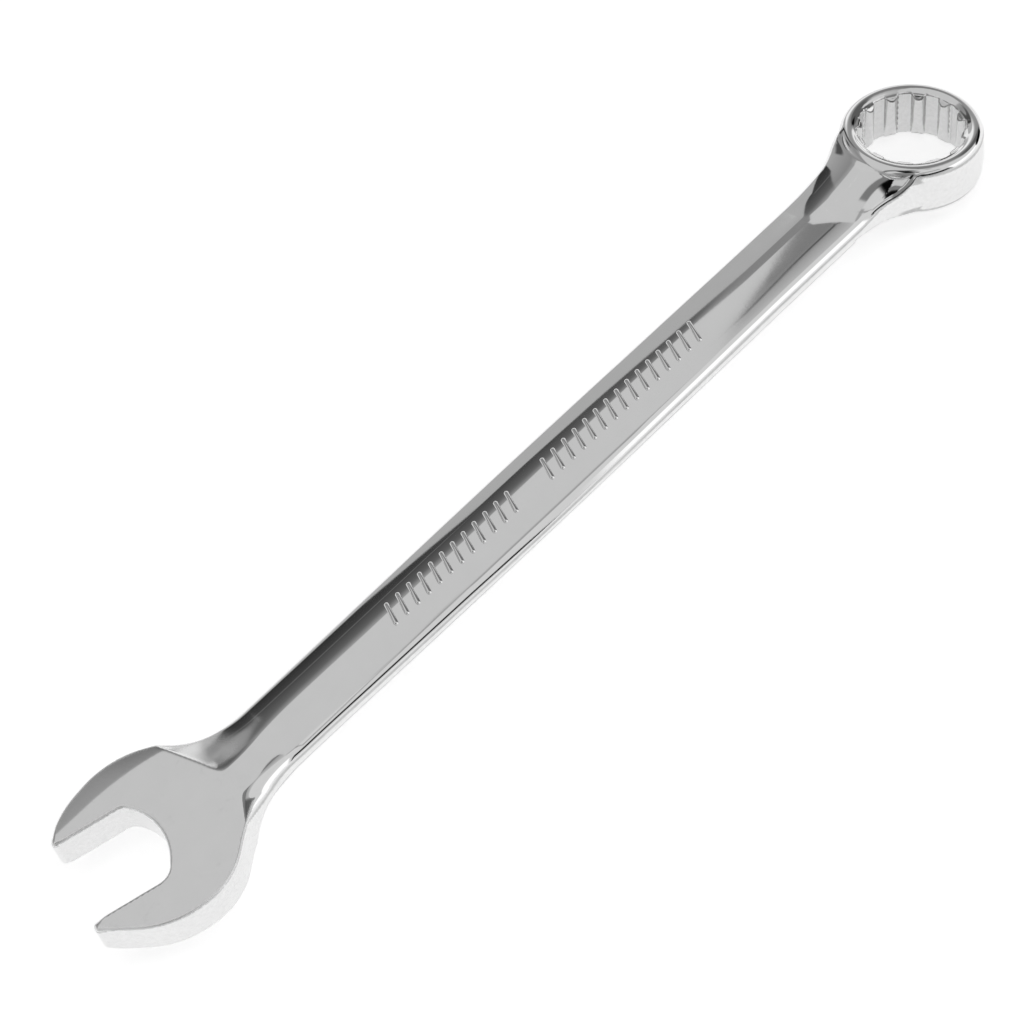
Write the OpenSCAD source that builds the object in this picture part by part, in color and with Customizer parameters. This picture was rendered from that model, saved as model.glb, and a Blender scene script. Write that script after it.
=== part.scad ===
// Combination wrench: an open end and a twelve-point ring end on one forged bar.
// X runs along the shank from the open end (-X) to the ring end (+X), +Z is up.
// The origin is under the middle of the whole tool, at the height of its lowest point.

/* [Open end] */
// Width of the jaw opening between its two flats
jaw_gap = 17.2; // [16.8:0.1:17.6]
// Outer diameter of the open-end head
head_d = 34.6; // [34:0.2:37]
// Thickness of the open-end head
head_t = 6.9; // [6.4:0.1:7.6]
// Angle between the jaw opening and the shank, in degrees
jaw_angle = 15; // [8:1:18]
// Sideways shift of the jaw opening from the head's centre
jaw_shift = -0.35; // [-0.6:0.05:0]
// Radius of the throat at the bottom of the jaw opening
throat_r = 12.4; // [12:0.1:13]
// Depth of the throat behind the head's centre
throat_depth = 2.1; // [1.5:0.1:2.5]
// Radius of the rounded jaw tips
tip_r = 1.3; // [1:0.1:1.5]
// Radius of the throat's two corners
throat_corner_r = 2.2; // [1.2:0.1:3]

/* [Shank] */
// Distance between the centres of the two ends
centres = 187.5; // [180:0.5:200]
// Width of the shank at its waists, near the two ends
waist_w = 14.7; // [14:0.1:15]
// Extra width of the shank at its middle
swell_w = 0.9; // [0:0.1:1.2]
// Radius of the crowned top and bottom of the shank
crown_r = 15.6; // [15:0.1:17]

/* [Ring end] */
// Outer diameter of the ring at its middle height
ring_d = 26.4; // [26:0.1:27]
// Height of the ring along its own axis
ring_t = 10.4; // [10:0.1:11]
// Tilt of the ring against the shank, in degrees
ring_tilt = 13; // [10:0.5:15]
// Drop of the ring's centre below the shank's middle
ring_drop = 1.6; // [1:0.1:2]
// Hexagon size that the twelve-point socket takes, across flats
socket_size = 17; // [16.8:0.05:17.1]
// Radius of the socket's valleys
valley_r = 9.95; // [9.9:0.01:10]
// Radius of the convex lobes between the valleys
lobe_r = 1.45; // [1.4:0.05:1.5]
// Turn of the socket's points about the ring's axis, in degrees
socket_turn = 5; // [0:1:29]

/* [Raised marks] */
// Height of the marks above the middle of the shank's top
mark_h = 0.35; // [0.2:0.05:0.5]
// Width of one slanted bar
mark_w = 0.9; // [0.7:0.05:1.1]
// Length of one slanted bar
mark_l = 5.2; // [4:0.1:5.6]
// Distance from one bar to the next
mark_pitch = 2.65; // [2.4:0.05:3]
// Slant of the bars, in degrees
mark_slant = 20; // [10:1:30]

/* [Hidden] */
$fn = 96;
FINE = 240;

// Overlap that keeps tangent outlines crossing cleanly
hair = 0.01;

// Reach and overlap of the plain shapes that only trim others
far = 40;
overlap = 0.8;

head_r = head_d / 2;
ring_r = ring_d / 2;
half_t = head_t / 2;
half_gap = jaw_gap / 2;
half_waist = waist_w / 2;
crown_z = half_t - crown_r;

// The head and the ring meet the shank on these two planes
head_joint_x = 27;
ring_joint_x = 157;

// Shoulders behind the head: azimuth where each one leaves the head's circle, and its slope.
// The upper one leaves it earlier, and runs out to a bulge before it turns down.
upper_azimuth = 72;
upper_slope = 33;
lower_azimuth = 79.3;
lower_slope = 32;
shoulder_r = 20;
upper_start = (head_r - 4 * hair) * [cos(upper_azimuth), sin(upper_azimuth)];
upper_bulge = (head_r + 0.4) * [cos(58), sin(58)];
lower_start = (head_r - hair) * [cos(lower_azimuth), sin(lower_azimuth)];

// Height of the shank's vertical side wall, where the crowned faces end
edge_z = crown_z + sqrt(crown_r * crown_r - half_waist * half_waist);

// The head's flat face: where it ends on the shank's middle line, and at the head's edge
face_end_x = 16;
face_edge_x = 11;

// Sideways shift of the throat's centre, across the opening
throat_shift = -0.6;

// Ring: a rounded lip round the socket, and a barrelled outside with rounded corners
lip_r = 1.15;
lip_centre_r = 11.15;
corner_r = 0.9;
barrel_drop = 0.4;
core_r = 8;

// Neck before the ring: its plan flares out by this angle to touch the ring
ring_flare = 25;
ring_fillet_r = 9;
touch_inset = 0.2;
barrel_h = ring_t / 2 - corner_r;
barrel_r = (barrel_h * barrel_h + barrel_drop * barrel_drop) / (2 * barrel_drop);

// How far the tilted ring reaches beyond its centre, along X and down
outer_corner_r = ring_r - barrel_drop - corner_r;
ring_reach = max(outer_corner_r * cos(ring_tilt) + barrel_h * sin(ring_tilt) + corner_r,
                 (ring_r - barrel_r) * cos(ring_tilt) + barrel_r);
ring_depth = outer_corner_r * sin(ring_tilt) + barrel_h * cos(ring_tilt) + corner_r;

// Jaw frame: u runs out of the opening, v runs across it
function jaw_point(p) = [
    -p[0] * cos(jaw_angle) + p[1] * sin(jaw_angle),
    p[0] * sin(jaw_angle) + p[1] * cos(jaw_angle)
];

// Azimuth where each jaw's straight back leaves the head's circle, from the way the jaws open
function back_angle(side) = side > 0 ? 54 : 59;
function back_point(side) = [cos(back_angle(side)), side * sin(back_angle(side))];

// Where a jaw's back, moved in by inset, is as far across the opening as v
function back_at(side, inset, v) = [(head_r - inset - side * v * sin(back_angle(side)))
    / cos(back_angle(side)), v];

function flat_v(side) = jaw_shift + side * half_gap;

// Centre of the rounding on the tip of the jaw on one side
function tip_centre(side) = back_at(side, tip_r, flat_v(side) + side * tip_r);

lower_tip = jaw_point(tip_centre(-1));
head_reach = -lower_tip[0] + tip_r;

middle_x = (centres + ring_reach - head_reach) / 2;
base_z = -ring_drop - ring_depth;

// Moves a shape from the open-end head's centre to the part's origin
module place() translate([-middle_x, 0, -base_z]) children();

// Everything on one side of a joint plane
module from_x(x0, x1) translate([x0, -far, -far]) cube([x1 - x0, 2 * far, 2 * far]);

// Replaces the sharp corner where a line meets a big circle by a tangent arc:
// c is the arc's centre, big the circle's centre, and foot the arc's touch point on the line.
// The arc is a hair larger than its radius, so that it crosses both edges cleanly.
module round_corner(c, r, big, big_r, foot) {
    touch = big + (c - big) * big_r / (big_r - r);
    sharp = foot + touch - c;
    difference() {
        children();
        polygon([c, foot, c + (sharp - c) * 2.5, touch]);
    }
    translate(c) circle(r = r + hair);
}

// The jaw opening in the jaw frame, with rounded throat corners
module jaw_slot() {
    low = flat_v(-1);
    high = flat_v(1);
    throat = [throat_r - throat_depth, throat_shift];
    inner_r = throat_r - throat_corner_r;
    v_high = high - throat_corner_r;
    v_low = low + throat_corner_r;
    c_high = [throat[0] - sqrt(pow(inner_r, 2) - pow(v_high - throat[1], 2)), v_high];
    c_low = [throat[0] - sqrt(pow(inner_r, 2) - pow(v_low - throat[1], 2)), v_low];
    round_corner(c_high, throat_corner_r, throat, throat_r, [c_high[0], high])
        round_corner(c_low, throat_corner_r, throat, throat_r, [c_low[0], low])
            intersection() {
                translate([-head_r, low]) square([3 * head_r, jaw_gap]);
                union() {
                    translate(throat) circle(r = throat_r, $fn = FINE);
                    translate([throat[0], -head_r]) square([2 * head_r, 2 * head_r]);
                }
            }
}

// Points of an arc, for the fillets of the outline
function arc(c, r, a0, a1, n) = [
    for (i = [0:n]) c + r * [cos(a0 + (a1 - a0) * i / n), sin(a0 + (a1 - a0) * i / n)]
];

// Fillet from a straight shoulder through p at angle a to the shank's waist
function shoulder(p, a, r) = let(
    cy = half_waist + r,
    cx = p[0] + (r - (cy - p[1]) * cos(a)) / sin(a)
) arc([cx, cy], r, 270 - a, 270, 12);

// The same outline on the other side of the shank, in reverse order
function flip(points) = [for (i = [len(points) - 1:-1:0]) [points[i][0], -points[i][1]]];

// Outline of the neck behind the open-end head
module neck_plan() {
    upper = concat([upper_start, upper_bulge], shoulder(upper_bulge, upper_slope, shoulder_r));
    lower = concat([lower_start], shoulder(lower_start, lower_slope, shoulder_r));
    end = [[head_joint_x + 1, half_waist], [head_joint_x + 1, -half_waist]];
    polygon(concat(upper, end, flip(lower), [[lower_start[0], 0]]));
}

// Head outline with its straight lower shoulder, before the jaws are cut
module head_plan() {
    difference() {
        circle(r = head_r, $fn = FINE);
        translate([lower_start[0], -lower_start[1]]) rotate(lower_slope) translate([0, -head_r])
            square([2 * head_r, head_r]);
    }
    neck_plan();
}

// Flat face of the head: it ends in a shallow point where the crowned shank takes over
module face_plan() {
    side = [[face_end_x, 0], [face_end_x - 1.1, 4], [face_end_x - 3.4, 12],
            [face_edge_x, far], [-far, far]];
    polygon(concat(side, flip(side)));
}

// Long bar with a crowned top and bottom, and a thinner flange on each side
module crowned_bar(length, flange) {
    rotate([90, 0, 90]) linear_extrude(length) {
        intersection() {
            translate([0, crown_z]) circle(r = crown_r, $fn = FINE);
            translate([0, -crown_z]) circle(r = crown_r, $fn = FINE);
        }
        translate([-flange, -edge_z]) square([2 * flange, 2 * edge_z]);
    }
}

module jaw_frame() rotate([0, 0, 180 - jaw_angle]) mirror([0, 1, 0]) children();

// Replaces the sharp tip of a jaw by a tangent arc
module tip_rounding(side) {
    c = tip_centre(side);
    sharp = back_at(side, 0, flat_v(side));
    difference() {
        children();
        polygon([c, [c[0], flat_v(side)], c + (sharp - c) * 1.2, c + tip_r * back_point(side)]);
    }
    translate(c) circle(r = tip_r + hair);
}

// The straight back of a jaw, out to its sharp tip
module jaw_back(side) {
    polygon([[0, 0], (head_r - 2 * hair) * back_point(side), back_at(side, 0, flat_v(side)),
             [0, flat_v(side)]]);
}

// Plan of the jaws and the head, in the jaw frame
module jaws_plan() {
    tip_rounding(1) tip_rounding(-1) difference() {
        union() {
            mirror([0, 1, 0]) rotate(jaw_angle - 180) head_plan();
            jaw_back(1);
            jaw_back(-1);
        }
        jaw_slot();
    }
}

module open_end_head() color("silver") place() intersection() {
    from_x(-far, head_joint_x);
    union() {
        intersection() {
            jaw_frame() translate([0, 0, -half_t]) linear_extrude(head_t) jaws_plan();
            translate([0, 0, -half_t]) linear_extrude(head_t) face_plan();
        }
        intersection() {
            translate([0, 0, -half_t]) linear_extrude(head_t) neck_plan();
            translate([face_edge_x, 0, 0]) crowned_bar(far, head_r + 3);
            from_x(face_edge_x, head_joint_x);
        }
    }
}

// Half-width of the shank: widest at its middle, with a waist at each end
function shank_half_w(x) = half_waist + swell_w / 2
    * (1 - cos(360 * (x - head_joint_x) / (ring_joint_x - head_joint_x))) / 2;

module shank_bar() {
    steps = 40;
    span = ring_joint_x - head_joint_x;
    xs = [for (i = [0:steps]) head_joint_x + span * i / steps];
    side = [for (x = xs) [x, shank_half_w(x)]];
    intersection() {
        translate([head_joint_x, 0, 0]) crowned_bar(span, 0.1);
        translate([0, 0, -half_t]) linear_extrude(head_t) polygon(concat(side, flip(side)));
    }
}

module shank() color("gainsboro") place() shank_bar();

// Outline of the neck before the ring: straight shoulders that touch the ring
module ring_neck_plan() {
    touch_r = ring_r - touch_inset;
    touch = [centres - touch_r * sin(ring_flare), touch_r * cos(ring_flare)];
    fillet_y = half_waist + ring_fillet_r;
    fillet_x = touch[0]
        - (ring_fillet_r - (fillet_y - touch[1]) * cos(ring_flare)) / sin(ring_flare);
    fillet = arc([fillet_x, fillet_y], ring_fillet_r, 270, 270 + ring_flare, 8);
    side = concat([[ring_joint_x, half_waist]], fillet, [touch, [centres, touch_r - 1]]);
    polygon(concat(side, flip(side)));
}

// Neck of the ring: the crowned bar, with a second crown that climbs to the ring's lip
module ring_neck() {
    rise_angle = 7.8;
    start_drop = 0.15;
    bar_length = 18;
    crown_length = 22;
    before_joint = 5;
    intersection() {
        translate([0, 0, -half_t]) linear_extrude(head_t + 3) ring_neck_plan();
        union() {
            translate([ring_joint_x, 0, 0]) crowned_bar(bar_length, ring_r);
            intersection() {
                translate([ring_joint_x, 0, half_t - start_drop]) rotate([0, 90 - rise_angle, 0])
                    translate([crown_r, 0, -before_joint])
                        cylinder(r = crown_r, h = crown_length + before_joint, $fn = FINE);
                translate([ring_joint_x, -far, 1 - half_t]) cube([bar_length + 2, 2 * far, far]);
            }
        }
    }
}

// Section of the ring: barrelled outside, with rounded corners and a round lip at each end
module ring_section() {
    intersection() {
        translate([ring_r - barrel_r, 0]) circle(r = barrel_r, $fn = FINE);
        translate([core_r, -barrel_h]) square([ring_r - core_r, 2 * barrel_h]);
    }
    for (side = [-1, 1]) {
        translate([outer_corner_r, side * barrel_h]) circle(r = corner_r);
        translate([lip_centre_r, side * (ring_t / 2 - lip_r)]) circle(r = lip_r);
        translate([core_r, side * (ring_t / 2 - 1) - 0.5]) square([outer_corner_r - core_r, 1]);
    }
}

// Twelve-point socket: a round hole with twelve convex lobes standing into it
module socket_plan() {
    clearance = 0.1;
    lobe_centre_r = (socket_size / 2 + lobe_r + clearance) / cos(15);
    difference() {
        circle(r = valley_r, $fn = FINE);
        for (i = [0:11]) rotate(socket_turn + 30 * i) translate([lobe_centre_r, 0]) circle(r = lobe_r);
    }
}

module ring_frame() translate([centres, 0, -ring_drop]) rotate([0, ring_tilt, 0]) children();

// Countersink that leads a bolt head into the socket
module countersink() {
    translate([0, 0, ring_t / 2 - 1.5])
        cylinder(r1 = valley_r - 1.4, r2 = valley_r + 0.8, h = 2.2, $fn = FINE);
}

module ring_end_head() color("silver") place() difference() {
    union() {
        ring_neck();
        ring_frame() rotate_extrude($fn = FINE) ring_section();
    }
    ring_frame() translate([0, 0, -ring_t]) linear_extrude(2 * ring_t) socket_plan();
    for (side = [0, 1]) ring_frame() mirror([0, 0, side]) countersink();
}

// Generic raised relief: two rows of slanted, round-ended bars along the shank's top
module bar_row(first_x, count) {
    end = (mark_l - mark_w) / 2;
    for (i = [0:count - 1]) translate([first_x + i * mark_pitch, -0.3]) rotate(-mark_slant) {
        square([mark_w, 2 * end], center = true);
        for (side = [-1, 1]) translate([0, side * end]) circle(d = mark_w, $fn = 32);
    }
}

module raised_marks() color("gray") place() difference() {
    translate([0, 0, half_t - overlap]) linear_extrude(overlap + mark_h) {
        bar_row(56, 12);
        bar_row(94, 15);
    }
    shank_bar();
}

open_end_head();
shank();
ring_end_head();
raised_marks();
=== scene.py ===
"""Combination wrench: the forging's rounded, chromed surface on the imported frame, with its studio."""
import math

import bmesh
import bpy
import numpy as np
from mathutils import Euler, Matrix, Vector


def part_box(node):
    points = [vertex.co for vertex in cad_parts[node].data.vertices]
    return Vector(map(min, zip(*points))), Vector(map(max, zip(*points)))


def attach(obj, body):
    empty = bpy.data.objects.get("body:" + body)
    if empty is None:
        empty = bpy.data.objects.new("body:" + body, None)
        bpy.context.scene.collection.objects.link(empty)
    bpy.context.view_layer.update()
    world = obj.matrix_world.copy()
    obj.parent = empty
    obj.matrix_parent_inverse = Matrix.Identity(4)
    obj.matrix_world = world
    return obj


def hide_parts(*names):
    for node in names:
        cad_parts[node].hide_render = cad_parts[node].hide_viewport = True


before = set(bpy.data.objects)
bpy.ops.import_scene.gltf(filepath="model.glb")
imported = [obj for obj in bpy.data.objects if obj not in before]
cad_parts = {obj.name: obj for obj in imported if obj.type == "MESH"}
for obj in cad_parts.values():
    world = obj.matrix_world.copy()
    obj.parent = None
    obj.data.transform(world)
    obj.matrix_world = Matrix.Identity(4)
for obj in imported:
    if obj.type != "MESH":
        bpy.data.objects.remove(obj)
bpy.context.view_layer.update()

# ------------------------------------------------------------------ the forging's dimensions, in mm
# The forging's own axes: the origin is the open end's centre at the middle of its thickness, X runs
# along the shank to the ring, and Z is up. place() takes them to the frame.
CENTRES = 187.5              # from one end's centre to the other
HALF_T = 3.45                # half the thickness of the head, and of the shank at its crown
CROWN_R = 15.6               # crowned top and bottom of the shank
WAIST = 7.35                 # half-width of the shank near its ends
SWELL = 8.0                  # height at which the shank's two long side lines would meet
SHANK_EDGE = 1.2             # rounding of the shank's four edges
HEAD_R = 17.3                # outline of the open-end head
HEAD_EDGE = 0.4              # rounding of the head's edges
JAW_ANGLE = math.radians(15)
JAW_HIGH, JAW_LOW = 8.25, -8.95      # the two flats, measured across the opening
JAW_TIP = 0.8                # rounding of the jaw tips, seen from above
LOWER_TIP = 0.6              # the same for the inner corner of the longer jaw
UPPER_END, LOWER_END = 15.0, 15.5    # how far the two blunt jaw tips reach, in the jaw frame
THROAT = (10.3, -0.6, 12.4)          # centre and radius of the throat, in the jaw frame
FACE_END = 16.0              # where the head's flat face ends on the shank's middle line
LOWER_FACE_END = 19.6        # the same for the steeper line on the -Y side
RING_R = 13.2                # ring at its middle height, and half its height
RING_HALF = 5.2
RING_TILT = math.radians(13)
RING_DROP = 1.6              # the ring's centre lies this far below the shank's middle
RING_BARREL = 0.0216         # the ring's wall falls in by this times its height squared
SHOULDER_H = 4.6             # flat shoulder of the ring, outside its lip
LIP_R, LIP_CENTRE = 1.5, 11.45       # the lip's own radius, and its centre's distance from the axis
VALLEY_R = 9.95              # twelve-point socket: valleys, and the lobes between them
LOBE_R = 1.45
LOBE_CENTRE = (8.5 + LOBE_R + 0.1) / math.cos(math.radians(15))
SOCKET_TURN = math.radians(5)        # turn of the points about the ring's axis
RISE_START = 160.8           # where the neck's ridge starts to climb to the ring
HEAD_JOINT, RING_JOINT = 27.0, 157.0     # planes on which the shank meets the two ends

shank_low, shank_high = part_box("shank")
MIDDLE_X = HEAD_JOINT - shank_low.x * 1000
BASE_Z = -(shank_low.z + shank_high.z) / 2 * 1000


def place(points):
    """From the forging's axes in mm to the frame in metres."""
    return (np.asarray(points, float) - (MIDDLE_X, 0, BASE_Z)) / 1000


# ------------------------------------------------------------------ outlines seen from above

def from_jaw(u, v):
    """A point of the jaw frame: u runs out of the opening, v across it."""
    c, s = math.cos(JAW_ANGLE), math.sin(JAW_ANGLE)
    return -u * c + v * s, u * s + v * c


def tangent(degrees, radius=HEAD_R):
    """The line that touches a circle about the head's centre at that azimuth: a point and its way."""
    c, s = math.cos(math.radians(degrees)), math.sin(math.radians(degrees))
    return (radius * c, radius * s), (-s, c)


def meet(line_a, line_b):
    """Where two lines cross, each given as a point and a direction."""
    (ax, ay), (au, av) = line_a
    (bx, by), (bu, bv) = line_b
    t = ((bx - ax) * bv - (by - ay) * bu) / (au * bv - av * bu)
    return ax + t * au, ay + t * av


def throat_line(degrees):
    """The line that touches the throat's arc at that azimuth of the jaw frame."""
    a = math.radians(degrees)
    u, v, r = THROAT
    return from_jaw(u + r * math.cos(a), v + r * math.sin(a)), from_jaw(-math.sin(a), math.cos(a))


def wrench_corners():
    """Outline of the head, the shank and the ring's neck, anticlockwise: corners (x, y, rounding)."""
    upper_flat = (from_jaw(0, JAW_HIGH), from_jaw(1, 0))
    lower_flat = (from_jaw(0, JAW_LOW), from_jaw(1, 0))
    upper_end = (from_jaw(UPPER_END, 0), from_jaw(0, 1))
    lower_end = (from_jaw(LOWER_END, 0), from_jaw(0, 1))
    # The head's round back: lines that touch it, a little fuller behind the shorter jaw
    upper_head = [tangent(57, 17.72), tangent(98, 17.15), tangent(122, 17.5)]
    lower_head = [tangent(222.5), tangent(242), tangent(264)]
    top_side = ((0, WAIST), (-1, 0))
    bottom_side = ((0, -WAIST), (1, 0))
    # The shoulders behind the head, and the flare before the ring
    lower_slope = ((10, -12.9), (math.cos(math.radians(38)), math.sin(math.radians(38))))
    flare = math.radians(26)
    ring_touch = (CENTRES - RING_R * math.sin(flare), RING_R * math.cos(flare))
    ring_start = meet((ring_touch, (math.cos(flare), math.sin(flare))), top_side)
    side = [
        (CENTRES, 10, 1),
        (ring_touch[0], ring_touch[1] - 0.05, 3),
        (*ring_start, 9.5),
        (146, WAIST, 400),
        (90, SWELL, 1600),
        (34, WAIST, 400),
    ]
    other_side = [(x, -y, r) for x, y, r in reversed(side)]
    return side + [
        (*meet(upper_head[0], top_side), 20),
        (*meet(upper_head[0], upper_head[1]), HEAD_R),
        (*meet(upper_head[1], upper_head[2]), HEAD_R),
        (*meet(upper_head[2], upper_end), 0.9),
        (*meet(upper_end, upper_flat), JAW_TIP),
        (*meet(upper_flat, throat_line(140)), 2.2),
        (*meet(throat_line(140), throat_line(180)), THROAT[2]),
        (*meet(throat_line(180), throat_line(205)), THROAT[2]),
        (*meet(throat_line(205), lower_flat), 3.4),
        (*meet(lower_flat, lower_end), LOWER_TIP),
        (*meet(lower_end, lower_head[0]), JAW_TIP),
        (*meet(lower_head[0], lower_head[1]), HEAD_R),
        (*meet(lower_head[1], lower_head[2]), HEAD_R),
        (*meet(lower_head[2], lower_slope), 13.5),
        (*meet(lower_slope, bottom_side), 28),
    ] + other_side


def outline_distance(x, y, corners):
    """Signed distance to a closed outline, negative inside. Each corner is rounded by a tangent arc."""
    points = np.array([c[:2] for c in corners])
    steps = np.roll(points, -1, 0) - points
    lengths = np.hypot(*steps.T)
    ways = steps / lengths[:, None]
    before = np.roll(ways, 1, 0)
    turns = np.arctan2(before[:, 0] * ways[:, 1] - before[:, 1] * ways[:, 0], (before * ways).sum(1))
    radii = np.array([c[2] for c in corners])
    trims = radii * np.tan(np.abs(turns) / 2)
    best = np.full(np.broadcast(x, y).shape, 1e3)
    for i, (point, a, b, side, r, trim) in enumerate(zip(points, before, ways, np.sign(turns), radii, trims)):
        centre = point - a * trim + side * r * np.array([-a[1], a[0]])
        px, py = x - centre[0], y - centre[1]
        arc = side * (np.hypot(px, py) - r)
        near = (px * a[0] + py * a[1] >= 0) & (px * b[0] + py * b[1] <= 0)
        near &= px * (b - a)[0] + py * (b - a)[1] < 0
        best = np.where(near & (np.abs(arc) < np.abs(best)), arc, best)
        start = point + b * trim
        px, py = x - start[0], y - start[1]
        along = px * b[0] + py * b[1]
        line = px * b[1] - py * b[0]
        near = (along >= 0) & (along <= lengths[i] - trim - np.roll(trims, -1)[i])
        best = np.where(near & (np.abs(line) < np.abs(best)), line, best)
    return best


# ------------------------------------------------------------------ ways to join and cut fields

def cut(a, b, r):
    """What is inside both, with their common edge rounded."""
    return np.minimum(-r, np.maximum(a, b)) + np.hypot(np.maximum(a + r, 0), np.maximum(b + r, 0))


def join(a, b, r):
    """What is inside either, with a fillet between them."""
    return -cut(-a, -b, r)


def ramp(x, x0, x1):
    """0 before x0, 1 after x1, and smooth between."""
    t = np.clip((x - x0) / (x1 - x0), 0, 1)
    return t * t * (3 - 2 * t)


# ------------------------------------------------------------------ the forging as one field, in mm

def ring_axes(x, z):
    """Coordinates in the tilted ring: across it in the XZ plane, and along its axis."""
    c, s = math.cos(RING_TILT), math.sin(RING_TILT)
    px, pz = x - CENTRES, z + RING_DROP
    return px * c - pz * s, px * s + pz * c


def ring_field(x, y, z):
    """Barrelled ring with rounded shoulders and a round lip at each end."""
    px, h = ring_axes(x, z)
    rho = np.hypot(px, y)
    barrel = rho - (RING_R - RING_BARREL * h * h)
    drum = cut(barrel, np.abs(h) - SHOULDER_H, 1.5)
    lip = np.hypot(rho - LIP_CENTRE, np.abs(h) - (RING_HALF - LIP_R)) - LIP_R
    return join(drum, lip, 0.5)


def socket_field(x, y, z):
    """Twelve-point hole with a countersink at each end, negative inside the hole."""
    px, h = ring_axes(x, z)
    rho = np.hypot(px, y)
    pitch = math.radians(30)
    turn = (np.arctan2(y, px) - SOCKET_TURN + pitch / 2) % pitch - pitch / 2
    lobe = np.hypot(rho * np.cos(turn) - LOBE_CENTRE, rho * np.sin(turn)) - LOBE_R
    hole = cut(rho - VALLEY_R, -lobe, 0.12)
    slope = math.radians(38)
    lead = (rho - VALLEY_R + 0.75) * math.cos(slope) - (np.abs(h) - 4.2) * math.sin(slope)
    return join(hole, lead, 0.15)


def beyond_face(x, y):
    """How far a point lies behind the end of the head's flat face, softened at the edge."""
    upper, lower = math.radians(16), math.radians(33)
    behind_upper = (x - FACE_END) * math.cos(upper) + y * math.sin(upper)
    behind_lower = (x - LOWER_FACE_END) * math.cos(lower) - y * math.sin(lower)
    side = ramp(y, -3.5, -0.3)
    beyond = behind_lower * (1 - side) + behind_upper * side
    return (beyond + np.hypot(beyond, 0.2)) / 2


def hollow(x, y):
    """Shape of the shallow dish in the shank just behind the face, on its +Y side."""
    beyond = beyond_face(x, y) / 2.6
    return beyond * np.exp(1 - beyond) * ramp(y, -0.8, 3)


def bar_field(x, y, z):
    """Head, shank and ring neck, inside the outline. x, y and z are in the forging's axes."""
    # Near the ring the outline leans with the ring's axis
    lean = math.tan(RING_TILT) * (z + RING_DROP) * ramp(x, 168, 181)
    plan = outline_distance(x - lean, y, wrench_corners())
    crown_z = HALF_T - CROWN_R
    # The crown follows the outline behind the head, and its ridge climbs towards the ring
    inward = np.clip(WAIST + plan, 0, WAIST)
    straight = ramp(x, 30, 38)
    across = inward * (1 - straight) + np.abs(y) * straight
    # The climb is a parabola that starts later, and is then steeper, towards the -Y side
    delay = np.clip(-0.9 * (y + 1), 0, 5)
    rise = np.maximum(x - RISE_START - delay, 0) ** 2 / (111 - 30 * ramp(-y, 1, 7))
    flatten = 1 - 0.4 * ramp(x, 172, 184) - 0.25 * ramp(x, 175, 182)
    top = np.hypot(across * flatten, z - rise - crown_z) - CROWN_R
    near_ring = x > 165
    along_axis = ring_axes(x, z)[1]
    top = cut(top, np.where(near_ring, along_axis - SHOULDER_H - 0.15, -9.0), 1.0)
    sink = 1.6 * ramp(x, 167, 181)
    flatten = 1 - 0.65 * ramp(x, 166, 181)
    bottom = np.hypot(across * flatten, -z - sink - crown_z) - CROWN_R
    bottom = cut(bottom, np.where(near_ring, -along_axis - SHOULDER_H, -9.0), 0.8)
    # The head's faces are flat, and fall away a little beyond a bent line on the +Y side
    past_line = y - 13.3 + 0.0095 * np.maximum(x + 3, 0) ** 2
    fall = (past_line + np.hypot(past_line, 0.25)) / 2
    face = np.abs(z) - HALF_T + 0.042 * fall + 0.003 * fall ** 2
    beyond = beyond_face(x, y)
    taken = 1 - (1 - np.clip(beyond / (6.5 + 1.5 * np.sign(y)), 0, 1)) ** 3
    soft = ramp(-y, 0, 1.5) * ramp(y, -8, -5)
    taken = taken * (1 - soft) + ramp(x, 15, 29) * soft
    slab = face * (1 - taken) + np.maximum(top, bottom) * taken
    slab = slab + 0.45 * hollow(x, y)
    rounding = HEAD_EDGE + (SHANK_EDGE - HEAD_EDGE) * taken - 0.7 * ramp(x, 165, 182)
    out = y * math.sin(JAW_ANGLE) - x * math.cos(JAW_ANGLE)
    rounding = rounding + 0.8 * ramp(out, 12.5, 15.5)
    # Beside the ring the outline stays inside the ring's barrel and its round shoulder
    shoulder = RING_BARREL * along_axis ** 2 + 0.35 * ramp(np.abs(along_axis), 2.5, SHOULDER_H)
    return cut(plan + shoulder * ramp(x, 171, 180), slab, rounding)


def wrench_field(x, y, z):
    """The whole forging, negative inside."""
    body = join(bar_field(x, y, z), ring_field(x, y, z), 0.2)
    return cut(body, -socket_field(x, y, z), 0.2)


# ------------------------------------------------------------------ from the field to a mesh

def spaced(*stretches):
    """Grid lines: (start, end, step) stretches that follow each other."""
    lines = [np.linspace(a, b, round((b - a) / step) + 1)[:-1] for a, b, step in stretches]
    return np.append(np.concatenate(lines), stretches[-1][1])


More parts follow.
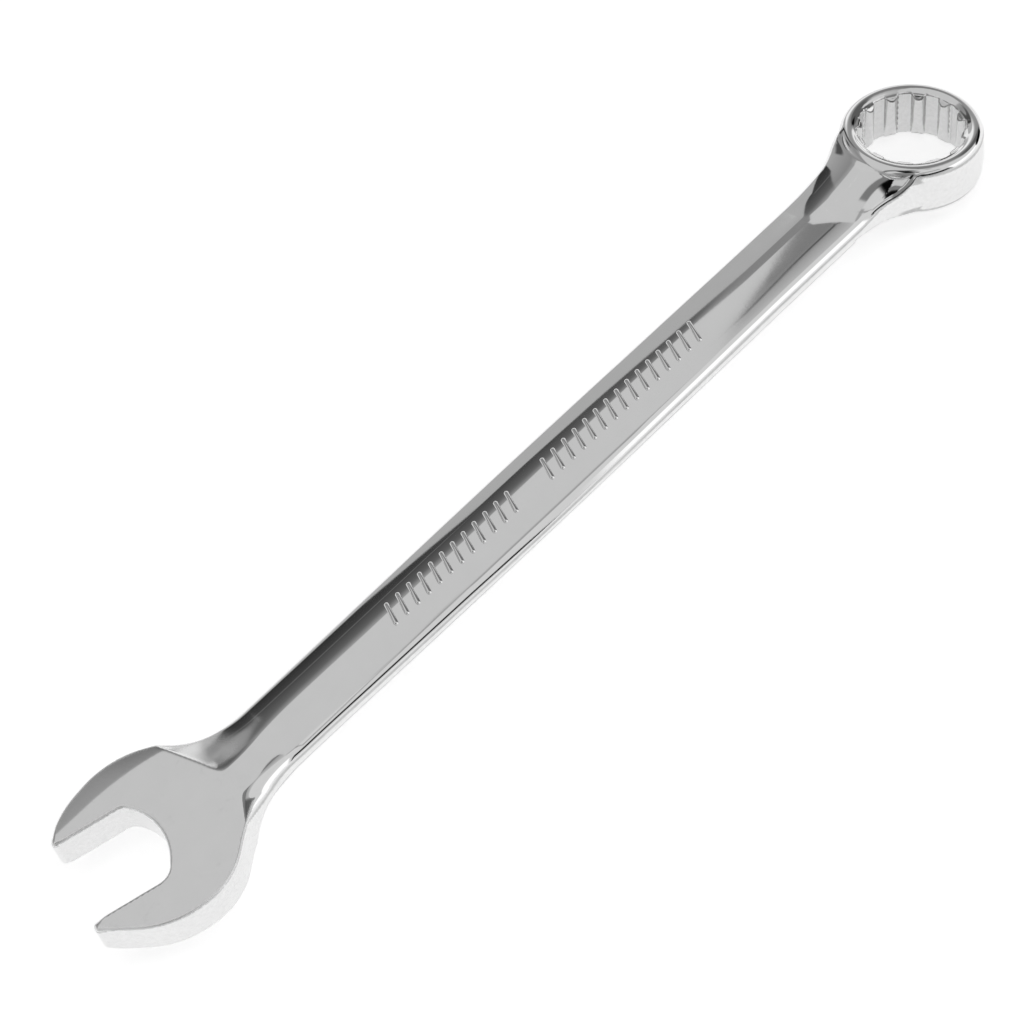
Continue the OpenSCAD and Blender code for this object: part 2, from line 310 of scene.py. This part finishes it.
def surface_net(values, axes):
    """Points and quads of the zero surface of a field sampled on a grid, one point in each cell."""
    inside = values < 0
    shape = np.array(values.shape) - 1
    count = np.zeros(shape, np.int8)
    for corner in np.ndindex(2, 2, 2):
        count += inside[tuple(slice(c, c + n) for c, n in zip(corner, shape))]
    cells = np.argwhere((count > 0) & (count < 8))
    total, hits = np.zeros((len(cells), 3)), np.zeros(len(cells))
    for axis in range(3):
        others = [k for k in range(3) if k != axis]
        for shift in np.ndindex(2, 2):
            first = cells.copy()
            first[:, others] += shift
            last = first.copy()
            last[:, axis] += 1
            v0, v1 = values[tuple(first.T)], values[tuple(last.T)]
            crossed = (v0 < 0) != (v1 < 0)
            t = np.where(crossed, v0 / np.where(crossed, v0 - v1, 1), 0)
            point = np.stack([axes[k][first[:, k]] for k in range(3)], 1)
            point[:, axis] += t * (axes[axis][last[:, axis]] - point[:, axis])
            total += point * crossed[:, None]
            hits += crossed
    number = np.full(shape, -1)
    number[tuple(cells.T)] = np.arange(len(cells))
    quads = []
    for axis in range(3):
        b, c = (axis + 1) % 3, (axis + 2) % 3
        low = [slice(None)] * 3
        high = [slice(None)] * 3
        low[axis], high[axis] = slice(0, -1), slice(1, None)
        edges = np.argwhere(inside[tuple(low)] != inside[tuple(high)])
        edges = edges[(edges[:, b] > 0) & (edges[:, c] > 0)]
        ring = []
        for db, dc in ((1, 1), (0, 1), (0, 0), (1, 0)):
            cell = edges.copy()
            cell[:, b] -= db
            cell[:, c] -= dc
            ring.append(number[tuple(cell.T)])
        ring = np.stack(ring, 1)
        leaving = inside[tuple(edges.T)]
        quads.append(np.where(leaving[:, None], ring, ring[:, ::-1]))
    return total / hits[:, None], np.concatenate(quads)


def slopes(points, h=0.02):
    """Unit normals of the wrench's field, the field's values, steepness and curvature at the points."""
    middle = wrench_field(*points.T)
    columns, bend = [], -6 * middle
    for axis in range(3):
        step = np.zeros(3)
        step[axis] = h
        ahead, behind = wrench_field(*(points + step).T), wrench_field(*(points - step).T)
        columns.append((ahead - behind) / (2 * h))
        bend = bend + ahead + behind
    gradient = np.stack(columns, 1)
    steep = np.maximum(np.linalg.norm(gradient, axis=1), 1e-6)
    return gradient / steep[:, None], middle, steep, bend / h ** 2


def forging_mesh():
    """The whole forging as one closed surface, its points drawn onto the field's zero surface."""
    fine, coarse = 0.28, 1.0
    axes = (
        spaced((-18.6, 30, fine), (30, 150, coarse), (150, 202.4, fine)),
        spaced((-18.2, 18.2, fine)),
        spaced((-10.2, 7.2, fine)),
    )
    values = wrench_field(*np.ix_(*axes))
    points, quads = surface_net(values, axes)
    for _ in range(4):
        normals, value, steep, _ = slopes(points)
        points -= normals * np.clip(value / steep, -0.15, 0.15)[:, None]
    return points, quads


def mesh_object(name, points, faces):
    mesh = bpy.data.meshes.new(name)
    mesh.from_pydata(points, [], faces)
    mesh.validate()
    piece = bpy.data.objects.new(name, mesh)
    bpy.context.scene.collection.objects.link(piece)
    return piece


def attribute(piece, name, values):
    layer = piece.data.attributes.new(name, "FLOAT", "POINT")
    layer.data.foreach_set("value", np.asarray(values, np.float32))


def cut_piece(source, name, x_from, x_to):
    """The part of the forging between two joint planes, closed by a flat cap on each of them."""
    shape = bmesh.new()
    shape.from_mesh(source.data)
    for x, direction in ((x_from, -1), (x_to, 1)):
        if x is None:
            continue
        everything = shape.verts[:] + shape.edges[:] + shape.faces[:]
        bmesh.ops.bisect_plane(shape, geom=everything, plane_co=(x, 0, 0), plane_no=(direction, 0, 0),
                               clear_outer=True)
        rim = [e for e in shape.edges if e.is_boundary]
        bmesh.ops.contextual_create(shape, geom=rim)
    bmesh.ops.recalc_face_normals(shape, faces=shape.faces[:])
    mesh = bpy.data.meshes.new(name)
    shape.to_mesh(mesh)
    shape.free()
    piece = bpy.data.objects.new(name, mesh)
    bpy.context.scene.collection.objects.link(piece)
    finish_surface(piece)
    return piece


def finish_surface(piece):
    """Takes the piece to the frame, with the field's own normals and the values its material reads."""
    mesh = piece.data
    co = np.zeros(len(mesh.vertices) * 3)
    mesh.vertices.foreach_get("co", co)
    points = co.reshape(-1, 3)
    normals, _, _, bend = slopes(points)
    mesh.polygons.foreach_set("use_smooth", [True] * len(mesh.polygons))
    corners = np.zeros(len(mesh.loops), int)
    mesh.loops.foreach_get("vertex_index", corners)
    loop_normals = normals[corners]
    for face in mesh.polygons:
        # The caps on the joint planes are the only faces with many corners
        if len(face.vertices) > 8:
            loop_normals[face.loop_start:face.loop_start + face.loop_total] = face.normal
    mesh.vertices.foreach_set("co", place(points).ravel())
    mesh.update()
    mesh.normals_split_custom_set(loop_normals.tolist())
    flat = np.abs(normals[:, 2]) > 0.97
    attribute(piece, "ground_face", flat * (1 - ramp(beyond_face(points[:, 0], points[:, 1]), 0, 2.5)))
    # How far a surface leans back from a wall; the ring's walls follow the ring's own tilt
    lean = np.where(points[:, 0] > 168, RING_TILT, 0.0)
    tilt = np.abs(normals[:, 0] * np.sin(lean) + normals[:, 2] * np.cos(lean))
    attribute(piece, "raw_wall", 1 - ramp(tilt, 0.25, 0.5))
    on_head = points[:, 0] < HEAD_JOINT
    dull = ramp(hollow(points[:, 0], points[:, 1]), 0.1, 0.6)
    dull = dull * (1 - ramp(beyond_face(points[:, 0], points[:, 1]), 4, 9))
    attribute(piece, "hollow", dull * on_head)
    edge = np.clip(bend / 2.5, 0, 1)
    attribute(piece, "edge", edge)
    # The head's rim is where the way in from the outline equals the way down from the face
    inward = -outline_distance(points[:, 0], points[:, 1], wrench_corners())
    rim = 1 - ramp(np.abs(inward - (HALF_T - np.abs(points[:, 2]))), 0.1, 0.6)
    attribute(piece, "worn_rim", rim * (points[:, 0] < FACE_END))
    across, along = ring_axes(points[:, 0], points[:, 2])
    rho = np.hypot(across, points[:, 1])
    # Painted shade: the walls inside the socket are marked, so the colour can be darkened there in place of
    # the shade inside the hole
    attribute(piece, "socket_painted_shade", (rho < VALLEY_R + 0.1) & (np.abs(along) < SHOULDER_H))
    # Painted dark reflection: the band where the walls round into the faces is marked, so the colour can be
    # darkened there in place of a dark reflection
    attribute(piece, "painted_dark_reflection", ramp(tilt, 0.15, 0.25) * (1 - ramp(tilt, 0.3, 0.5)))


def crown_height(y):
    return HALF_T - CROWN_R + np.sqrt(CROWN_R ** 2 - np.square(y))


def raised_bars():
    """Two rows of slanted, round-backed bars on the shank's crown, each one closed."""
    half_width, half_length, height, root = 0.45, 2.6, 0.35, 0.3
    pitch, off_middle = 2.65, -0.3
    rows = ((56, 12), (94, 15))
    slant = math.radians(-20)
    rises = np.radians((0, 15, 35, 55, 72, 86))
    levels = [(1.0, -root)] + [(math.cos(a), height * math.sin(a)) for a in rises]
    turns = np.radians(np.append(np.linspace(-90, 90, 9), np.linspace(90, 270, 9)))
    ends = np.repeat((1, -1), 9) * (half_length - half_width)
    points, faces = [], []
    n = len(turns)
    for x in [first + pitch * i for first, count in rows for i in range(count)]:
        start = len(points)
        for shrink, lift in levels:
            along = ends + half_width * shrink * np.cos(turns)
            across = half_width * shrink * np.sin(turns)
            px = x + across * math.cos(slant) - along * math.sin(slant)
            py = across * math.sin(slant) + along * math.cos(slant) + off_middle
            points += np.stack([px, py, crown_height(py) + lift], 1).tolist()
        for level in range(len(levels) - 1):
            base = start + level * n
            for i in range(n):
                j = (i + 1) % n
                faces.append((base + i, base + j, base + n + j, base + n + i))
        faces.append([start + i for i in reversed(range(n))])
        faces.append([start + (len(levels) - 1) * n + i for i in range(n)])
    piece = mesh_object("raised_bars", place(points).tolist(), faces)
    shape = bmesh.new()
    shape.from_mesh(piece.data)
    bmesh.ops.recalc_face_normals(shape, faces=shape.faces[:])
    shape.to_mesh(piece.data)
    shape.free()
    piece.data.polygons.foreach_set("use_smooth", [True] * len(piece.data.polygons))
    return piece


# ------------------------------------------------------------------ materials

class Graph:
    """Short calls for building shader nodes."""

    def __init__(self, tree):
        self.tree = tree
        tree.nodes.clear()

    def node(self, kind, inputs=(), **settings):
        made = self.tree.nodes.new("ShaderNode" + kind)
        for name, value in settings.items():
            setattr(made, name, value)
        for name, value in dict(inputs).items():
            self.feed(made.inputs[name], value)
        return made

    def feed(self, socket, value):
        if isinstance(value, bpy.types.NodeSocket):
            self.tree.links.new(value, socket)
        else:
            socket.default_value = value

    def math(self, operation, a, b=0.0, c=0.0):
        made = self.node("Math", operation=operation)
        for socket, value in zip(made.inputs, (a, b, c)):
            self.feed(socket, value)
        return made.outputs[0]

    def remap(self, value, low, high, to_low=0.0, to_high=1.0, kind="SMOOTHSTEP"):
        made = self.node("MapRange", {"Value": value, "From Min": low, "From Max": high,
                                      "To Min": to_low, "To Max": to_high}, interpolation_type=kind)
        return made.outputs[0]

    def slide(self, value, *points):
        """Piecewise linear: (value, result) points in rising order, constant beyond the ends."""
        result = points[0][1]
        for (x0, y0), (x1, y1) in zip(points, points[1:]):
            result = self.math("ADD", result, self.remap(value, x0, x1, 0.0, y1 - y0, "LINEAR"))
        return result

    def band(self, value, low, high, soft):
        """1 between low and high and 0 outside, with soft edges."""
        return self.math("MULTIPLY", self.remap(value, low - soft, low + soft),
                         self.remap(value, high - soft, high + soft, 1.0, 0.0))

    def blend(self, factor, a, b):
        made = self.node("Mix", data_type="FLOAT")
        for socket, value in zip((made.inputs[0], made.inputs[2], made.inputs[3]), (factor, a, b)):
            self.feed(socket, value)
        return made.outputs[0]

    def noise(self, place_on, scale, detail=2.0, roughness=0.5):
        made = self.node("TexNoise", {"Vector": place_on, "Scale": scale, "Detail": detail,
                                      "Roughness": roughness})
        return made.outputs[0]

    def stretched(self, vector, scale):
        made = self.node("Mapping", {"Vector": vector, "Scale": scale})
        return made.outputs[0]

    def named(self, name):
        return self.node("Attribute", attribute_name=name).outputs["Fac"]

    def grey(self, value):
        return self.node("CombineColor", {"Red": value, "Green": value, "Blue": value}).outputs[0]


def chrome(name):
    """Chrome plate over a forging: polished crowns, satin ground faces and mottled raw walls."""
    shine = 0.03
    material = bpy.data.materials.new(name)
    material.use_nodes = True
    g = Graph(material.node_tree)
    where = g.node("TexCoord").outputs["Object"]
    face, wall, edge = g.named("ground_face"), g.named("raw_wall"), g.named("edge")
    dish, worn = g.named("hollow"), g.named("worn_rim")

    # Noise at five scales: broad clouds, fine grain, lengthwise polishing lines, pits and stains
    cloud = g.noise(where, 260.0, 3.0)
    grain = g.noise(where, 1900.0, 4.0, 0.6)
    brushed = g.noise(g.stretched(where, (300.0, 3200.0, 3200.0)), 1.0, 3.0, 0.65)
    pits = g.noise(where, 1300.0, 5.0, 0.7)
    stain = g.remap(g.noise(where, 420.0, 4.0, 0.7), 0.58, 0.72, 0.0, 0.035)

    rough = g.math("ADD", shine, g.math("MULTIPLY", cloud, 0.04))
    rough = g.blend(dish, rough, g.math("ADD", 0.18, g.math("MULTIPLY", cloud, 0.04)))
    rough = g.blend(face, rough, g.math("ADD", 0.05, g.math("MULTIPLY", grain, 0.07)))
    rough = g.blend(wall, rough, g.math("ADD", 0.12, g.math("MULTIPLY", pits, 0.2)))
    rough = g.math("ADD", g.math("SUBTRACT", rough, g.math("MULTIPLY", edge, 0.03)),
                   g.math("MULTIPLY", worn, 0.3))
    tone = g.math("ADD", 0.76, g.math("MULTIPLY", cloud, 0.04))
    tone = g.math("SUBTRACT", tone, g.math("MULTIPLY", face, stain))
    tone = g.blend(wall, tone, g.math("ADD", 0.66, g.math("MULTIPLY", pits, 0.22)))
    # Painted shade: the socket's inner walls are darkened by 0.12 in the colour
    tone = g.math("SUBTRACT", tone, g.math("MULTIPLY", g.named("socket_painted_shade"), 0.12))
    tone = g.math("ADD", tone, g.math("MULTIPLY", edge, 0.05))
    # Painted dark reflection: the band where walls round into faces is darkened by 0.3 in the colour
    tone = g.math("SUBTRACT", tone, g.math("MULTIPLY", g.named("painted_dark_reflection"), 0.3))

    height = g.math("ADD", g.math("MULTIPLY", brushed, 0.05), g.math("MULTIPLY", grain, 0.07))
    height = g.blend(face, height, g.math("MULTIPLY", grain, 0.22))
    height = g.blend(wall, height, g.math("MULTIPLY", pits, 1.8))
    height = g.math("MULTIPLY", height, g.math("SUBTRACT", 1.0, g.math("MULTIPLY", dish, 0.8)))
    bump = g.node("Bump", {"Height": height, "Strength": 0.35, "Distance": 0.00002})
    # The worn rim and the satin scoop scatter some of the light that falls on them
    metallic = g.math("SUBTRACT", 1.0, g.math("MULTIPLY", worn, 0.4))
    metallic = g.math("SUBTRACT", metallic, g.math("MULTIPLY", dish, 0.35))
    surface = g.node("BsdfPrincipled", {"Base Color": g.grey(tone), "Metallic": metallic, "Roughness": rough,
                                        "Normal": bump.outputs[0]})
    out = g.node("OutputMaterial")
    g.feed(out.inputs["Surface"], surface.outputs[0])
    return material


# ------------------------------------------------------------------ build the pieces

points, quads = forging_mesh()
whole = mesh_object("whole_forging", points.tolist(), quads.tolist())
polished = chrome("polished_chrome")
PIECES = (
    ("open_end_head", "open_end_forging", None, HEAD_JOINT, "chrome_satin"),
    ("shank", "shank_forging", HEAD_JOINT, RING_JOINT, "chrome_polished"),
    ("ring_end_head", "ring_end_forging", RING_JOINT, None, "chrome_polished"),
)
for node, name, x_from, x_to, slot in PIECES:
    piece = cut_piece(whole, name, x_from, x_to)
    piece.data.materials.append(polished)
    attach(piece, "root")
    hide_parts(node)
bpy.data.objects.remove(whole)

bars = raised_bars()
bars.data.materials.append(polished)
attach(bars, "root")
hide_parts("raised_marks")


# ------------------------------------------------------------------ studio

FLOOR_GLOW = 0.56            # the pale sheet glows a little, like a light table
FLOOR_SIZE = 4               # metres


def floor():
    bpy.ops.mesh.primitive_plane_add(size=FLOOR_SIZE)
    plane = bpy.context.object
    plane.name = "floor"
    material = bpy.data.materials.new("pale_floor")
    material.use_nodes = True
    g = Graph(material.node_tree)
    where = g.node("TexCoord").outputs["Object"]
    tone = g.remap(g.noise(where, 40.0, 3.0), 0.3, 0.7, 0.87, 0.88)
    surface = g.node("BsdfPrincipled", {"Base Color": g.grey(tone), "Roughness": 0.9,
                                        "Specular IOR Level": 0.0, "Emission Color": g.grey(tone),
                                        "Emission Strength": FLOOR_GLOW})
    out = g.node("OutputMaterial")
    g.feed(out.inputs["Surface"], surface.outputs[0])
    plane.data.materials.append(material)


def studio_light():
    """Soft light from all round, as the chrome mirrors it: white cards, with dark gaps between them.

    A direction is named by its turn about X (0 ahead, 90 straight up, 180 behind) and by its X part.
    Tones are how bright a direction looks in the chrome, on a display's 0-1 scale.
    """
    world = bpy.data.worlds.new("studio")
    bpy.context.scene.world = world
    world.use_nodes = True
    g = Graph(world.node_tree)
    way = g.node("TexCoord").outputs["Generated"]
    dx, dy, dz = g.node("SeparateXYZ", {"Vector": way}).outputs
    turn = g.math("MULTIPLY", g.math("ARCTAN2", dz, dy), math.degrees(1))

    def past(edge, soft):
        """1 where the turn is beyond an edge that may itself move with dx."""
        return g.remap(g.math("SUBTRACT", turn, edge), -soft, soft)

    def streak(middle, half, soft, fades=None):
        """A thin line at a turn that may move with dx."""
        off = g.math("ABSOLUTE", g.math("SUBTRACT", turn, middle))
        mask = g.remap(off, half - soft, half + soft, 1.0, 0.0)
        return mask if fades is None else g.math("MULTIPLY", mask, fades)

    left = g.remap(dx, 0.2, 0.24, 1.0, 0.0)
    right = g.remap(dx, 0.29, 0.32)

    # Low light ahead, then the dark card and the large top card
    low = g.blend(left, 0.65, g.slide(turn, (7, 0.82), (11, 0.66)))
    low_edge = g.slide(dx, (0.225, 12.5), (0.265, 27), (0.285, 27.5), (0.31, 31), (0.362, 44))
    high_edge = g.slide(dx, (0.19, 52.5), (0.22, 53.5), (0.28, 52), (0.34, 50), (0.36, 56))
    inside = g.slide(turn, (14, 0.2), (26, 0.24), (33, 0.29), (41, 0.34), (45, 0.38), (52, 0.56))
    inside = g.blend(g.remap(dx, 0.34, 0.365), inside, 0.5)
    inside = g.blend(streak(30.4, 0.6, 0.35, g.remap(dx, 0.25, 0.27, 1.0, 0.0)), inside, 0.4)
    card_end = g.slide(turn, (15, 0.62), (35, 0.56), (46, 0.52), (52, 0.6))
    inside = g.blend(g.remap(dx, 0.15, 0.162, 1.0, 0.0), inside, card_end)
    tone = g.blend(past(low_edge, 0.8), low, inside)
    tone = g.blend(past(high_edge, 0.7), tone, 0.75)

    # Beyond the top card's slanted edge
    slant = g.slide(turn, (45, 0.385), (60, 0.374), (72, 0.367), (90, 0.352), (104, 0.345))
    beyond = g.remap(g.math("SUBTRACT", dx, slant), -0.002, 0.002)
    side = g.slide(turn, (30, 0.9), (42, 0.56), (60, 0.47), (82, 0.47), (92, 0.6), (104, 0.7))
    side = g.blend(g.math("MULTIPLY", g.band(turn, 58, 108, 4.0), g.remap(dx, 0.68, 0.8)), side, 0.35)
    beyond = g.math("MULTIPLY", beyond, past(9.0, 3.0))
    tone = g.blend(beyond, tone, side)
    seam = g.slide(dx, (0.355, 91), (0.375, 86))
    tone = g.blend(streak(seam, 1.2, 0.8, g.remap(dx, 0.35, 0.36)), tone, 0.33)

    # Behind the tool: thin streaks on a white card
    tone = g.blend(past(105.0, 0.8), tone, 0.79)
    tone = g.blend(streak(106.0, 1.8, 0.6, g.band(dx, 0.21, 0.33, 0.01)), tone, 0.61)
    drift = g.slide(dx, (0.19, 138), (0.2, 128), (0.214, 118), (0.239, 107))
    tone = g.blend(streak(drift, 4.5, 2.0, g.remap(dx, 0.235, 0.25, 1.0, 0.0)), tone, 0.58)
    white = g.math("MULTIPLY", g.band(turn, 148, 200, 3.0), right)
    tone = g.blend(white, tone, 1.0)
    tone = g.blend(streak(100.0, 4.5, 1.0, g.remap(dx, 0.13, 0.16, 1.0, 0.0)), tone, 0.46)
    # Dark gaps towards the open end, behind and ahead, and one far beyond the ring
    soft = g.math("MULTIPLY", g.band(turn, 118, 168, 5.0), g.band(dx, -0.85, -0.33, 0.06))
    tone = g.blend(soft, tone, 0.48)
    black = g.math("MULTIPLY", g.band(turn, 103, 121, 2.0), g.band(dx, -0.5, -0.09, 0.05))
    tone = g.blend(black, tone, 0.06)
    tone = g.blend(g.math("MULTIPLY", g.remap(dx, 0.93, 0.955), past(55.0, 8.0)), tone, 0.06)
    ahead = g.math("MULTIPLY", g.band(turn, 20, 31, 3.0), g.band(dx, -0.25, -0.03, 0.03))
    tone = g.blend(ahead, tone, 0.3)
    dark = g.slide(dx, (0.24, 165), (0.265, 172), (0.284, 190), (0.31, 208))
    tone = g.blend(streak(dark, 6.5, 1.5, g.remap(dx, 0.285, 0.31, 1.0, 0.3)), tone, 0.15)

    # From a display's tone to light; 1.28 makes up for what the chrome takes
    light = g.math("MULTIPLY", g.math("POWER", tone, 2.2), 1.28)
    light = g.blend(g.node("LightPath").outputs["Is Camera Ray"], light, 1.0)
    back = g.node("Background", {"Color": g.grey(light), "Strength": 1.0})
    out = g.node("OutputWorld")
    g.feed(out.inputs["Surface"], back.outputs[0])


def fill_light():
    """A wide soft lamp that lifts the floor. The chrome doesn't mirror it."""
    data = bpy.data.lights.new("fill", "AREA")
    data.shape = "DISK"
    data.size = 1.6
    data.energy = 4
    lamp = bpy.data.objects.new("fill", data)
    lamp.location = (0.1, -0.2, 1.5)
    lamp.visible_glossy = False
    bpy.context.scene.collection.objects.link(lamp)


def camera():
    """Seen from the side and above, from about 0.6 m, with the open end nearest."""
    azimuth, elevation, roll = (math.radians(a) for a in (26.85, 52.95, 21.05))
    target = Vector(place((84.89, 0.28, 0)))
    data = bpy.data.cameras.new("camera")
    data.lens = 123.2
    data.sensor_width = 36
    data.clip_start = 0.01
    cam = bpy.data.objects.new("camera", data)
    turn = Euler((math.pi / 2 - elevation, 0, -azimuth)).to_matrix() @ Euler((0, 0, -roll)).to_matrix()
    cam.rotation_euler = turn.to_euler()
    cam.location = target + turn @ Vector((0, 0, 0.6094))
    bpy.context.scene.collection.objects.link(cam)
    bpy.context.scene.camera = cam


floor()
studio_light()
fill_light()
camera()
bpy.context.scene.view_settings.view_transform = "Standard"
